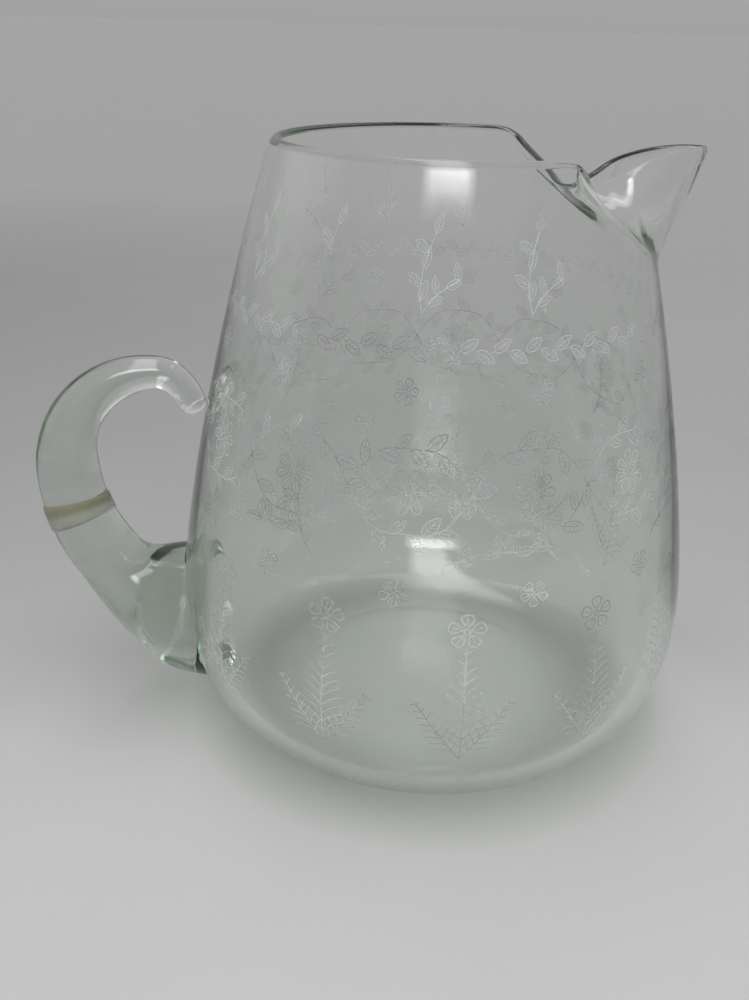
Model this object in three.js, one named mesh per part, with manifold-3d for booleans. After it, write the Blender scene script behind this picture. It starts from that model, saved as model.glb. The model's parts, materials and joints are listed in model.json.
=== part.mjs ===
// A hand-blown glass pitcher: a round body with a pinched ice lip and a drawn-out spout,
// a solid glass handle stuck on low at the back and curled over at the top, and a thin
// band wrapped round the handle. Millimetres, +Z up, the spout towards +X, the handle
// towards -X, and the origin in the middle of the foot on the table.
import * as THREE from "three";
import { mergeVertices } from "three/addons/utils/BufferGeometryUtils.js";
import Module from "manifold-3d";

// Round body, outside
const rimHeight = 180;
const rimRadius = 50.1;
const bellyHeight = 45;
const bellyRadius = 78.8;
const footRadius = 45.8;
const heelLean = 6.4; // degrees that the wall first rises from the foot
const heelPull = 0.642; // share of the heel's width that keeps close to that lean
const bellyPull = 0.628; // share of the belly's height that keeps close to upright
const bellyRun = 22; // above the belly, the wall stays close to upright this far
const shoulderLean = 17.7; // degrees that the wall leans in at the rim
const shoulderRun = 50; // below the rim, the wall keeps close to that lean this far

// Glass thickness
const rimWall = 2.7;
const bellyWall = 5.4;
const floorThickness = 5.2;
const floorRadius = 42.2; // flat part of the floor
const floorPull = 0.66; // how sharply the floor turns up into the wall

// Ice lip: the rim is pushed in on both sides of the spout
const lipDepth = 34.5; // below the rim by more than this, the body is round
const lipAngle = 65; // degrees from the spout to the start of each fold
const foldTurn = 6.5; // degrees that a fold takes to leave the round rim
const foldStartDrop = 1.4;
const foldClimb = 1.7; // how late the fold's lower edge climbs to the rim
const foldSoftness = 0.06; // how softly the fold starts at its lower edge
const foldSwell = 0.18; // how much the fold runs ahead of a straight slope
const neckReach = 36; // from the axis to the narrow place between the folds
const neckHalfWidth = 9; // outside
const neckDrop = 12.7; // below the round rim

// Spout
const spoutReach = 72.2; // from the axis to the tip
const spoutWideReach = 47; // from the axis to the widest place
const spoutHalfWidth = 12.1; // outside
const spoutTipDrop = 0.3;
const spoutSag = 2.2; // how late the spout's edge drops towards the neck

// Handle
const gripRadius = 9.3;
const gripHeight = 84;
const gripRun = 28; // below the grip, the rod stays close to upright this far
const fingerRoom = 25; // between the belly and the grip
const rootRadius = 12.4;
const rootHeight = 21;
const rootSink = 3; // the rod's round root is centred this far inside the wall's outside
const rootLean = 40; // degrees that the rod rises as it leaves the body
const rootRun = 30; // the rod keeps close to that lean this far
const archRise = 28.5; // from the grip to the top of the curl, along the rod's middle
const archReach = 17; // from the wall at that height to the top of the curl
const archRadius = 4.9;
const tipRadius = 4.1;
const tipDrop = 8.9; // from the top of the curl to the tip

// Root of the handle: a pad on the wall, which narrows over a collar and a waist to the rod
const padTop = 53.4; // height of the pad's upper edge
const padBottom = 10.4;
const padHalfWidth = 24.3;
const padSink = 7; // the pad runs this far into the wall before its seat is cut
const collarTopOut = 10.4; // from the pad's upper edge out to the collar's
const collarFootOut = 16.8; // from the pad's lower edge out to the collar's
const collarFootRise = 2.8;
const collarHalfWidth = 18.5;
const waistTopOut = 13.8;
const waistTopRise = 1.8;
const waistFootOut = 28.2;
const waistFootRise = 12.3;
const waistHalfWidth = 14;
const flareHeight = 53; // above this, the rod is round
const seatGap = 0.3; // between the handle and the body

// Band round the handle
const bandWidth = 7;
const bandThickness = 0.5;
const bandHeight = 67.5;
const bandTilt = 0.3; // the band sits this much higher on the fingers' side
const bandSkew = 2.8; // and this much higher on the -Y side
const bandGap = 0.3;

// Fineness of the faceted solids
const heelRows = 7;
const wallRows = 5;
const lipRows = 9;
const rowFollow = 0.85; // how closely the rows of the lip follow the fold's lower edge
const foldColumns = 3; // columns between two points of the lip's outline
const roundColumns = 20; // columns on each half of the round rim
const flareRows = 16;
const rodRows = 26;
const rodColumns = 36;
const keepOutColumns = 90;

const radians = THREE.MathUtils.degToRad;
const between = THREE.MathUtils.lerp;
const at = (x, y) => new THREE.Vector2(x, y);

// Even shares of a length: 1/count up to 1, and 1 down to 1/count
const stepsUp = (count) => Array.from({ length: count }, (_, step) => (step + 1) / count);
const stepsDown = (count) => stepsUp(count).reverse();

const wasm = await Module();
wasm.setup();

function solid(geometry) {
  const plain = geometry.clone();
  plain.deleteAttribute("normal");
  plain.deleteAttribute("uv");
  const merged = mergeVertices(plain, 1e-4);
  return new wasm.Manifold(
    new wasm.Mesh({
      numProp: 3,
      vertProperties: new Float32Array(merged.attributes.position.array),
      triVerts: new Uint32Array(merged.index.array),
    }),
  );
}

function geometryOf(manifold) {
  const mesh = manifold.getMesh();
  const geometry = new THREE.BufferGeometry();
  geometry.setAttribute("position", new THREE.BufferAttribute(mesh.vertProperties, 3));
  geometry.setIndex(new THREE.BufferAttribute(mesh.triVerts, 1));
  geometry.computeVertexNormals();
  return geometry;
}

// Turns a profile of (radius, height) points into a closed lathe solid, and moves each
// vertex to where place(column, row) says.
function turned(profile, columns, place) {
  const geometry = new THREE.LatheGeometry(profile, columns);
  const position = geometry.attributes.position;
  for (let column = 0; column <= columns; column++) {
    profile.forEach((point, row) => {
      const spot = place(column % columns, row);
      position.setXYZ(column * profile.length + row, spot.x, spot.y, spot.z);
    });
  }
  geometry.computeVertexNormals();
  return geometry;
}

// Profile of the body, as (radius, height)
const heelWidth = heelPull * (bellyRadius - footRadius);
const outerHeel = new THREE.CubicBezierCurve(
  at(footRadius, 0),
  at(footRadius + heelWidth, heelWidth * Math.tan(radians(heelLean))),
  at(bellyRadius, bellyHeight * (1 - bellyPull)),
  at(bellyRadius, bellyHeight),
);
const shoulderWidth = shoulderRun * Math.tan(radians(shoulderLean));
const outerShoulder = new THREE.CubicBezierCurve(
  at(bellyRadius, bellyHeight),
  at(bellyRadius, bellyHeight + bellyRun),
  at(rimRadius + shoulderWidth, rimHeight - shoulderRun),
  at(rimRadius, rimHeight),
);
const innerBelly = at(bellyRadius - bellyWall, bellyHeight);
const innerHeel = new THREE.CubicBezierCurve(
  at(floorRadius, floorThickness),
  at(between(floorRadius, innerBelly.x, floorPull), floorThickness),
  at(innerBelly.x, between(innerBelly.y, floorThickness, floorPull)),
  innerBelly,
);
const innerRim = rimRadius - rimWall;
const innerShoulder = new THREE.CubicBezierCurve(
  innerBelly,
  at(innerBelly.x, innerBelly.y + bellyRun),
  at(innerRim + shoulderWidth, rimHeight - shoulderRun),
  at(innerRim, rimHeight),
);

function atHeight(curve, height) {
  let low = 0;
  let high = 1;
  for (let step = 0; step < 40; step++) {
    const middle = (low + high) / 2;
    if (curve.getPoint(middle).y < height) low = middle;
    else high = middle;
  }
  return curve.getPoint((low + high) / 2);
}

function wallRadius(height) {
  const curve = height < bellyHeight ? outerHeel : outerShoulder;
  return atHeight(curve, height).x;
}

// Rows of the body from the middle of the foot, up the outside, over the rim and down
// the inside to the middle of the floor. depth is 0 outside and 1 inside. climb says how
// far the fold's lower edge has climbed to the rim, and the rows of the lip follow it.
const lipBottom = rimHeight - lipDepth;
const rimTop = rimHeight - rimWall / 2;
const foldEdge = (climb) => between(lipBottom, rimTop, climb);
const rowEdge = (climb) => foldEdge(climb * rowFollow);
const lipLevel = (share, climb) => between(rimTop, rowEdge(climb), Math.pow(1 - share, 1.5));
const outerLevel = (share, climb) => between(bellyHeight, rowEdge(climb), share);
const innerLevel = (share, climb) => between(innerBelly.y, rowEdge(climb), share);
const rows = [];
const addRow = (pointOf, depth) => rows.push({ pointOf, depth });
const addLevel = (curve, level, share, depth) =>
  addRow((climb) => atHeight(curve, level(share, climb)), depth);
addRow(() => at(0, 0), 0);
addRow(() => at(footRadius, 0), 0);
stepsUp(heelRows).forEach((share) => addRow(() => outerHeel.getPoint(share), 0));
stepsUp(wallRows).forEach((share) => addLevel(outerShoulder, outerLevel, share, 0));
stepsUp(lipRows).forEach((share) => addLevel(outerShoulder, lipLevel, share, 0));
[45, 90, 135].forEach((turn) => {
  const depth = (1 - Math.cos(radians(turn))) / 2;
  const height = rimTop + (rimWall / 2) * Math.sin(radians(turn));
  addRow(() => at(between(rimRadius, innerRim, depth), height), depth);
});
stepsDown(lipRows).forEach((share) => addLevel(innerShoulder, lipLevel, share, 1));
stepsDown(wallRows).forEach((share) => addLevel(innerShoulder, innerLevel, share, 1));
stepsDown(heelRows).forEach((share) => addRow(() => innerHeel.getPoint(share), 1));
addRow(() => at(floorRadius, floorThickness), 1);
addRow(() => at(0, floorThickness), 1);

// Outline of the lip and spout along the top of the rim, from the tip of the spout to the
// start of the fold, with the points that steer its two ends.
function onRim(degrees, drop) {
  const angle = radians(degrees);
  const x = rimRadius * Math.cos(angle);
  const y = rimRadius * Math.sin(angle);
  return new THREE.Vector3(x, y, rimHeight - drop);
}
function onSpout(reach, width) {
  const fall = Math.pow((spoutReach - reach) / (spoutReach - neckReach), spoutSag);
  const drop = between(spoutTipDrop, neckDrop, fall);
  return new THREE.Vector3(reach, spoutHalfWidth * width, rimHeight - drop);
}
const tip = onSpout(spoutReach, 0);
const nearTip = onSpout(between(spoutWideReach, spoutReach, 0.78), 0.47);
const foldStart = onRim(lipAngle - foldTurn, foldStartDrop);
const neck = new THREE.Vector3(neckReach, neckHalfWidth, rimHeight - neckDrop);
const outline = [
  nearTip.clone().setY(-nearTip.y),
  tip,
  nearTip,
  onSpout(between(spoutWideReach, spoutReach, 0.41), 0.79),
  onSpout(spoutWideReach, 1),
  onSpout(between(spoutWideReach, neckReach, 0.58), 0.8),
  neck,
  foldStart.clone().lerp(neck, 0.7),
  foldStart.clone().lerp(neck, 0.3),
  foldStart,
  onRim(lipAngle, 0),
  onRim(lipAngle + foldTurn, 0),
  onRim(lipAngle + 2 * foldTurn, 0),
];
const lipCurve = new THREE.CatmullRomCurve3(outline);
const lipColumns = (outline.length - 4) * foldColumns;
const halfColumns = lipColumns + roundColumns;
const bodyColumns = 2 * halfColumns;

// One half of the rim, column by column: the direction of the round body under it, how
// far the outside and inside of the rim are shifted in plan, how far the rim drops, and
// how far the fold's lower edge has climbed to the rim.
const halfRim = Array.from({ length: halfColumns + 1 }, (_, column) => {
  const inLip = column <= lipColumns;
  const degrees = inLip
    ? (lipAngle * column) / lipColumns
    : between(lipAngle, 180, (column - lipColumns) / roundColumns);
  const direction = at(Math.cos(radians(degrees)), Math.sin(radians(degrees)));
  if (!inLip) return { direction, shift: [at(0, 0), at(0, 0)], drop: 0, climb: 1 };
  const share = (1 + column / foldColumns) / (outline.length - 1);
  const spot = lipCurve.getPoint(share);
  const along = lipCurve.getTangent(share);
  const inward = at(-along.y, along.x).normalize();
  const outside = at(spot.x, spot.y);
  const inside = outside.clone().addScaledVector(inward, rimWall);
  const shift = [
    outside.sub(direction.clone().multiplyScalar(rimRadius)),
    inside.sub(direction.clone().multiplyScalar(innerRim)),
  ];
  const climb = Math.pow(degrees / lipAngle, foldClimb);
  return { direction, shift, drop: rimHeight - spot.z, climb };
});

// How much of the lip's shift is reached at a height: none at its lower edge and all at
// the rim. The lower edge climbs from under the spout to the round rim.
function lipShare(height, climb) {
  const bottom = foldEdge(climb);
  const rise = Math.max(0, (height - bottom) / (rimHeight - bottom));
  const eased = (share) => share - foldSoftness * (1 - Math.exp(-share / foldSoftness));
  return (eased(rise) / eased(1)) * (1 + foldSwell * (1 - rise));
}

function bodySpot(column, row) {
  const mirrored = column > halfColumns;
  const { direction, shift, drop, climb } = halfRim[mirrored ? bodyColumns - column : column];
  const { pointOf, depth } = rows[row];
  const point = pointOf(climb);
  const share = lipShare(point.y, climb);
  const x = point.x * direction.x + share * between(shift[0].x, shift[1].x, depth);
  const y = point.x * direction.y + share * between(shift[0].y, shift[1].y, depth);
  return new THREE.Vector3(x, mirrored ? -y : y, point.y - share * drop);
}

const bodyProfile = rows.map(({ pointOf }) => pointOf(1));
const body = turned(bodyProfile, bodyColumns, bodySpot);

// The space that the handle keeps out of: the outside of the body and the seat gap. Its
// flats lie across the handle's plane, so that no corner of it falls on a corner of the rod.
const keepOutProfile = rows
  .filter(({ depth }) => depth === 0)
  .map(({ pointOf }) => pointOf(1))
  .map((point) => at(point.x && point.x + seatGap, point.y || -seatGap));
keepOutProfile.push(at(0, rimTop));
const keepOut = turned(keepOutProfile, keepOutColumns, (column, row) => {
  const angle = (2 * Math.PI * (column + 0.5)) / keepOutColumns;
  const { x: radius, y: height } = keepOutProfile[row];
  return new THREE.Vector3(radius * Math.cos(angle), radius * Math.sin(angle), height);
});

// Middle line of the handle's rod in its own plane, as (distance behind the axis, height)
const archHeight = gripHeight + archRise;
const tipHeight = archHeight - tipDrop;
const gripMiddle = bellyRadius + fingerRoom + gripRadius;
const rootMiddle = wallRadius(rootHeight) - rootSink;
const archMiddle = wallRadius(archHeight) + archReach;
const tipMiddle = wallRadius(tipHeight) + seatGap + tipRadius;
const lean = at(Math.cos(radians(rootLean)), Math.sin(radians(rootLean)));
const lower = new THREE.CubicBezierCurve(
  at(rootMiddle, rootHeight),
  at(rootMiddle, rootHeight).addScaledVector(lean, rootRun),
  at(gripMiddle, gripHeight - gripRun),
  at(gripMiddle, gripHeight),
);
const upper = new THREE.EllipseCurve(
  archMiddle,
  gripHeight,
  gripMiddle - archMiddle,
  archRise,
  0,
  Math.PI / 2,
);
const curl = new THREE.QuadraticBezierCurve(
  at(archMiddle, archHeight),
  at(between(tipMiddle, archMiddle, 0.4), archHeight),
  at(tipMiddle, tipHeight),
);
const middleLine = new THREE.CurvePath();
[lower, upper, curl].forEach((piece) => middleLine.add(piece));
const [lowerEnd, upperEnd, rodLength] = middleLine.getCurveLengths();

function rodRadius(along) {
  if (along < lowerEnd) return between(rootRadius, gripRadius, along / lowerEnd);
  if (along < upperEnd) {
    return between(gripRadius, archRadius, (along - lowerEnd) / (upperEnd - lowerEnd));
  }
  return between(archRadius, tipRadius, (along - upperEnd) / (rodLength - upperEnd));
}

// How far along its middle line the rod first reaches a height
function alongAt(height) {
  let along = 0;
  while (along < lowerEnd && middleLine.getPointAt(along / rodLength).y < height) along += 0.1;
  return along;
}

// A point in the handle's plane beside the middle line, offset towards the fingers
function besideRod(along, offset) {
  const share = THREE.MathUtils.clamp(along / rodLength, 0, 1);
  const middle = middleLine.getPointAt(share);
  const tangent = middleLine.getTangentAt(share);
  const past = along - share * rodLength;
  return at(
    middle.x + tangent.x * past - tangent.y * offset,
    middle.y + tangent.y * past + tangent.x * offset,
  );
}

// A section of the handle is given by its top, its foot and its half width. The rod's
// sections are circles, and the root's are ellipses placed from the edges of the pad.
function rodSection(along, radius) {
  return { top: besideRod(along, radius), foot: besideRod(along, -radius), halfWidth: radius };
}
function rootSection(topOut, topRise, footOut, footRise, halfWidth) {
  const top = at(wallRadius(padTop) + topOut, padTop + topRise);
  const foot = at(wallRadius(padBottom) + footOut, padBottom + footRise);
  return { top, foot, halfWidth };
}
function onSection({ top, foot, halfWidth }, turn) {
  const share = (1 + Math.cos(turn)) / 2;
  const x = between(foot.x, top.x, share);
  return new THREE.Vector3(-x, halfWidth * Math.sin(turn), between(foot.y, top.y, share));
}

// The flare from inside the wall out to the round rod, with a section that steers each end
const flareAlong = alongAt(flareHeight);
const flare = [
  rootSection(-2 * padSink, 0, -2 * padSink, 0, padHalfWidth),
  rootSection(-padSink, 0, -padSink, 0, padHalfWidth),
  rootSection(0, 0, 0, 0, padHalfWidth),
  rootSection(collarTopOut, 0, collarFootOut, collarFootRise, collarHalfWidth),
  rootSection(waistTopOut, waistTopRise, waistFootOut, waistFootRise, waistHalfWidth),
  rodSection(flareAlong, rodRadius(flareAlong)),
  rodSection(flareAlong + gripRadius, rodRadius(flareAlong + gripRadius)),
];
const flareTops = flare.map(({ top, halfWidth }) => new THREE.Vector3(top.x, top.y, halfWidth));
const flareFeet = flare.map(({ foot }) => new THREE.Vector3(foot.x, foot.y, 0));
const topCurve = new THREE.CatmullRomCurve3(flareTops);
const footCurve = new THREE.CatmullRomCurve3(flareFeet);
function flareSection(share) {
  const place = (1 + share * (flare.length - 3)) / (flare.length - 1);
  const top = topCurve.getPoint(place);
  return { top, foot: footCurve.getPoint(place), halfWidth: top.z };
}

// Sections of the handle from the middle of its first one to its round tip
const first = flareSection(0);
const firstMiddle = first.top.clone().lerp(first.foot, 0.5);
const sections = [{ top: firstMiddle, foot: firstMiddle, halfWidth: 0 }, first];
stepsUp(flareRows).forEach((share) => sections.push(flareSection(share)));
stepsUp(rodRows).forEach((share) => {
  const along = between(flareAlong, rodLength, share);
  sections.push(rodSection(along, rodRadius(along)));
});
[18, 36, 54, 72, 90].forEach((turn) => {
  const along = rodLength + tipRadius * Math.sin(radians(turn));
  sections.push(rodSection(along, tipRadius * Math.cos(radians(turn))));
});
const ends = [0, sections.length - 1];
const sectionRows = sections.map((_, row) => at(ends.includes(row) ? 0 : 1, row));
const blank = turned(sectionRows, rodColumns, (column, row) =>
  onSection(sections[row], (2 * Math.PI * column) / rodColumns),
);
const handle = geometryOf(solid(blank).subtract(solid(keepOut)));

// The band: a flat ring that follows the rod
const bandAlong = alongAt(bandHeight);
const bandRows = [
  at(bandGap, -bandWidth / 2),
  at(bandGap + bandThickness, -bandWidth / 2),
  at(bandGap + bandThickness, 0),
  at(bandGap + bandThickness, bandWidth / 2),
  at(bandGap, bandWidth / 2),
  at(bandGap, 0),
  at(bandGap, -bandWidth / 2),
];
const band = turned(bandRows, rodColumns, (column, row) => {
  const turn = (2 * Math.PI * column) / rodColumns;
  const slant = bandTilt * Math.cos(turn) - bandSkew * Math.sin(turn);
  const along = bandAlong + bandRows[row].y + slant;
  return onSection(rodSection(along, rodRadius(along) + bandRows[row].x), turn);
});

function piece(name, geometry, colour, roughness) {
  const material = new THREE.MeshStandardMaterial({ color: colour, roughness, metalness: 0 });
  const mesh = new THREE.Mesh(geometry, material);
  mesh.name = name;
  return mesh;
}

const pitcher = new THREE.Group();
pitcher.add(piece("body", body, 0xdfe8e3, 0.03));
pitcher.add(piece("handle", handle, 0xdce6e0, 0.03));
pitcher.add(piece("handle_band", band, 0xa39f7a, 0.6));

export default pitcher;
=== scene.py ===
# %% [markdown]
# # A hand-blown glass pitcher
# The pitcher is two gathers of hot glass and a band. One gather was blown into the round
# body and pinched at the rim into an ice lip and a spout. The other was pressed on low at
# the back, pulled up and curled over as the handle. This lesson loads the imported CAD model
# as a fixed frame and makes each piece again as a finer mesh in the same place, because
# clear glass shows every flat of a coarse one.

import json
import math
from bisect import bisect_left

import bmesh
import bpy
from mathutils import Matrix, Vector
from mathutils.bvhtree import BVHTree
from mathutils.kdtree import KDTree

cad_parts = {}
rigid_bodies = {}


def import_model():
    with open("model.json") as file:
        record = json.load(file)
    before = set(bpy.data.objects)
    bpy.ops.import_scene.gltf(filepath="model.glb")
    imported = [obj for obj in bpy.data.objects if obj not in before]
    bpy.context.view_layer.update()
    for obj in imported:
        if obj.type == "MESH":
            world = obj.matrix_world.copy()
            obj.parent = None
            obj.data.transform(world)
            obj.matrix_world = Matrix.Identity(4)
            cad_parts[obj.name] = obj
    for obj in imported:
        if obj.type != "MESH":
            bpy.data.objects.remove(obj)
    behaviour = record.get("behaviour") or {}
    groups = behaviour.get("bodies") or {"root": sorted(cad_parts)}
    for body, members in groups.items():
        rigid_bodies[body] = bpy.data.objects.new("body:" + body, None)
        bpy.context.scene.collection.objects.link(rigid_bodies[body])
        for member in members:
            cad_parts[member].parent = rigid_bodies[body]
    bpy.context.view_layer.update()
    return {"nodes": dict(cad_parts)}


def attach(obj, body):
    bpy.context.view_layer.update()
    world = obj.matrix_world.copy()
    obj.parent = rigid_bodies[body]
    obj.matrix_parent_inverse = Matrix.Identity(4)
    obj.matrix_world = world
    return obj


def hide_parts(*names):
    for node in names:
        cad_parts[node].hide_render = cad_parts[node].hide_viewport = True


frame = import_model()
MM = 0.001
print("nodes in the frame:", sorted(frame["nodes"]))

# %% [markdown]
# ## Shader sums in Python
# A material is a net of nodes, and long nets are hard to read. One small class wraps a
# socket, so that a sum written in Python adds its Math nodes by itself. A second class
# stands for one finish and has a single method that adds any other node.

# %% Sums on sockets


class Wire:
    """A node's output that can be used in sums."""

    def __init__(self, finish, socket):
        self.finish = finish
        self.socket = socket

    def sum(self, operation, *terms):
        return self.finish.node("ShaderNodeMath", {"operation": operation}, dict(enumerate(terms)))

    def __add__(self, other):
        return self.sum("ADD", self, other)

    def __sub__(self, other):
        return self.sum("SUBTRACT", self, other)

    def __rsub__(self, other):
        return self.sum("SUBTRACT", other, self)

    def __mul__(self, other):
        return self.sum("MULTIPLY", self, other)

    def __abs__(self):
        return self.sum("ABSOLUTE", self)

    def __gt__(self, other):
        return self.sum("GREATER_THAN", self, other)

    __radd__ = __add__
    __rmul__ = __mul__

    def clamped(self):
        return self.finish.node("ShaderNodeClamp", {}, {"Value": self})


class Finish:
    """The nodes of one material or world, and the method that adds them."""

    def __init__(self, owner, output="ShaderNodeOutputMaterial"):
        self.owner = owner
        self.owner.use_nodes = True
        self.tree = self.owner.node_tree
        self.tree.nodes.clear()
        self.output = self.tree.nodes.new(output)

    def node(self, kind, settings=None, values=None, output=0):
        made = self.tree.nodes.new(kind)
        for key, value in (settings or {}).items():
            if key == "stops":
                self.set_stops(made.color_ramp, value)
            else:
                setattr(made, key, value)
        for key, value in (values or {}).items():
            if isinstance(value, Wire):
                self.tree.links.new(value.socket, made.inputs[key])
            else:
                made.inputs[key].default_value = value
        return Wire(self, made.outputs[output])

    def set_stops(self, ramp, stops):
        while len(ramp.elements) < len(stops):
            ramp.elements.new(1.0)
        for element, (place, colour) in zip(ramp.elements, stops):
            element.position = place
            element.color = colour

    def show(self, surface, inside=None):
        self.tree.links.new(surface.socket, self.output.inputs["Surface"])
        if inside:
            self.tree.links.new(inside.socket, self.output.inputs["Volume"])
        return self.owner


def new_finish(name):
    return Finish(bpy.data.materials.new(name))


def grey(level):
    return (level, level, level, 1.0)


# %% [markdown]
# ## Clear glass
# Old table glass is nearly colourless in a thin wall and grey-green where light runs a long
# way through it, as in the heel, the rim and the handle. So the surface is plain clear glass
# and the tint is a Volume Absorption inside. Shadow rays go straight through, weakened a
# little by the wall and more by the thick rod, which keeps the shadow soft without waiting
# for caustics. Light caught between the two faces of the wall leaks out after some bounces,
# as it does at scratches and etched lines, and sooner in the rounded rim. Slow ripples in the
# normal stand for the uneven surface of blown glass, and a faint haze for finger marks.

# %% Open glass
TINT = (0.20, 0.37, 0.20, 1.0)
TINT_DENSITY, GLASS_IOR = 17.0, 1.5
LEAK_DEPTH, RIM_LEAK_DEPTH, RIM_ZONE = 16.5, 7.5, 0.174
print("glass tint", TINT[:3], "at density", TINT_DENSITY)


def open_glass(finish, ripple_scales, ripple_depth, passed):
    place = finish.node("ShaderNodeTexCoord", output="Object")
    stretch = finish.node("ShaderNodeMapping", {}, {"Vector": place, "Scale": ripple_scales})
    ripple = finish.node("ShaderNodeTexNoise", {}, {"Vector": stretch, "Scale": 1.0, "Detail": 1.0})
    bump = finish.node(
        "ShaderNodeBump", {}, {"Height": ripple, "Strength": 1.0, "Distance": ripple_depth}
    )
    marks = finish.node("ShaderNodeTexNoise", {}, {"Vector": place, "Scale": 28.0, "Detail": 4.0})
    haze = (marks * 2.5 - 1.2).clamped() * 0.03 + 0.005
    bright = finish.node(
        "ShaderNodeBsdfPrincipled",
        {},
        {
            "Base Color": grey(1.0),
            "Roughness": haze,
            "IOR": GLASS_IOR,
            "Transmission Weight": 1.0,
            "Normal": bump,
        },
    )
    lamp_ray = finish.node("ShaderNodeLightPath", output="Is Shadow Ray")
    depth = finish.node("ShaderNodeLightPath", output="Ray Depth")
    height = finish.node("ShaderNodeSeparateXYZ", {}, {0: place}, "Z")
    limit = LEAK_DEPTH - (height > RIM_ZONE) * (LEAK_DEPTH - RIM_LEAK_DEPTH)
    leaked = lamp_ray.sum("MAXIMUM", lamp_ray, depth > limit)
    let_through = finish.node("ShaderNodeBsdfTransparent", {}, {"Color": passed})
    return finish.node("ShaderNodeMixShader", {}, {0: leaked, 1: bright, 2: let_through})


# %% [markdown]
# Where the handle is fused on, the two gathers are one lump of glass with no surface between
# them. The meshes keep a hair's gap there, so the two faces on either side of the gap are
# made to let light straight through. A number stored in the mesh says how far a place lies
# inside the edge of the seat, and the shader changes over just inside that edge.

# %% Glass that opens at the seat


def glass(name, ripple_scales, ripple_depth, passed):
    finish = new_finish(name)
    from_edge = finish.node("ShaderNodeAttribute", {"attribute_name": "seat"}, output="Fac")
    fused = finish.node("ShaderNodeBsdfTransparent", {}, {"Color": grey(1.0)})
    clear = open_glass(finish, ripple_scales, ripple_depth, passed)
    covered = (from_edge * 6.0 - 1.0).clamped()
    surface = finish.node("ShaderNodeMixShader", {}, {0: covered, 1: clear, 2: fused})
    tint = finish.node("ShaderNodeVolumeAbsorption", {}, {"Color": TINT, "Density": TINT_DENSITY})
    return finish.show(surface, tint)


# %% [markdown]
# ## The profile of the body
# A glass blower turns the pipe, so the body is round up to the lip. Its profile is four
# Bezier curves, two outside and two inside: the heel that swells from the foot, and the
# shoulder that leans in to the rim. The wall keeps its thickness round the heel and gets
# thinner towards the rim.

# %% Profile curves
RIM_HEIGHT, RIM_RADIUS, RIM_WALL = 180.0, 50.1, 2.7
BELLY_HEIGHT, BELLY_RADIUS, BELLY_WALL = 45.0, 78.8, 5.4
FOOT_RADIUS, FLOOR_RADIUS, FLOOR = 45.8, 42.2, 5.2
BELLY_RUN, FLOOR_PULL = 22.0, 0.66
HEEL_WIDTH = 0.642 * (BELLY_RADIUS - FOOT_RADIUS)
SHOULDER_RUN = 50.0
SHOULDER_WIDTH = SHOULDER_RUN * math.tan(math.radians(17.7))
INNER_BELLY = Vector((BELLY_RADIUS - BELLY_WALL, BELLY_HEIGHT))
INNER_RIM = RIM_RADIUS - RIM_WALL


def at(radius, height):
    return Vector((radius, height))


OUTER_HEEL = (
    at(FOOT_RADIUS, 0),
    at(FOOT_RADIUS + HEEL_WIDTH, HEEL_WIDTH * math.tan(math.radians(6.4))),
    at(BELLY_RADIUS, BELLY_HEIGHT * 0.372),
    at(BELLY_RADIUS, BELLY_HEIGHT),
)
OUTER_SHOULDER = (
    at(BELLY_RADIUS, BELLY_HEIGHT),
    at(BELLY_RADIUS, BELLY_HEIGHT + BELLY_RUN),
    at(RIM_RADIUS + SHOULDER_WIDTH, RIM_HEIGHT - SHOULDER_RUN),
    at(RIM_RADIUS, RIM_HEIGHT),
)
INNER_HEEL = (
    at(FLOOR_RADIUS, FLOOR),
    at(FLOOR_RADIUS + FLOOR_PULL * (INNER_BELLY.x - FLOOR_RADIUS), FLOOR),
    at(INNER_BELLY.x, INNER_BELLY.y + FLOOR_PULL * (FLOOR - INNER_BELLY.y)),
    INNER_BELLY,
)
INNER_SHOULDER = (
    INNER_BELLY,
    at(INNER_BELLY.x, INNER_BELLY.y + BELLY_RUN),
    at(INNER_RIM + SHOULDER_WIDTH, RIM_HEIGHT - SHOULDER_RUN),
    at(INNER_RIM, RIM_HEIGHT),
)


def on_curve(curve, share):
    rest = 1 - share
    a, b, c, d = curve
    return a * rest**3 + b * 3 * rest**2 * share + c * 3 * rest * share**2 + d * share**3


def shares(count):
    return [step / count for step in range(count + 1)]


# %% [markdown]
# The lip, the handle and the ornament all ask how wide the wall is at some height. A Bezier
# gives radius and height together, so each side of the wall is kept as a fine table of both,
# and a height is looked up in it.

# %% Radius of the wall at a height


class Side:
    """The outside or the inside of the wall, as radius by height."""

    def __init__(self, *curves):
        points = [on_curve(curve, share) for curve in curves for share in shares(300)[1:]]
        self.heights = [point.y for point in points]
        self.radii = [point.x for point in points]

    def radius(self, height):
        upper = min(max(bisect_left(self.heights, height), 1), len(self.heights) - 1)
        low, high = self.heights[upper - 1], self.heights[upper]
        share = (height - low) / (high - low)
        return self.radii[upper - 1] + share * (self.radii[upper] - self.radii[upper - 1])


outside = Side(OUTER_HEEL, OUTER_SHOULDER)
inside = Side(INNER_HEEL, INNER_SHOULDER)
print("wall at mid height: %.2f mm" % (outside.radius(100) - inside.radius(100)))

# %% [markdown]
# ## Spinning the body
# A few points along the profile and one full spin make the round blank. The spin is closed
# on itself, so its first and last columns are merged, and the points on the axis are merged
# into one. The rows are close together near the rim, where the lip will be pushed in.

# %% Round blank
ROUND_TOP = BELLY_HEIGHT + 17
LIP_BOTTOM = RIM_HEIGHT - 34.5
RIM_TOP = RIM_HEIGHT - RIM_WALL / 2
COLUMNS = 360


def even(low, high, count):
    return [low + (high - low) * share for share in shares(count)[1:]]


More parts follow.
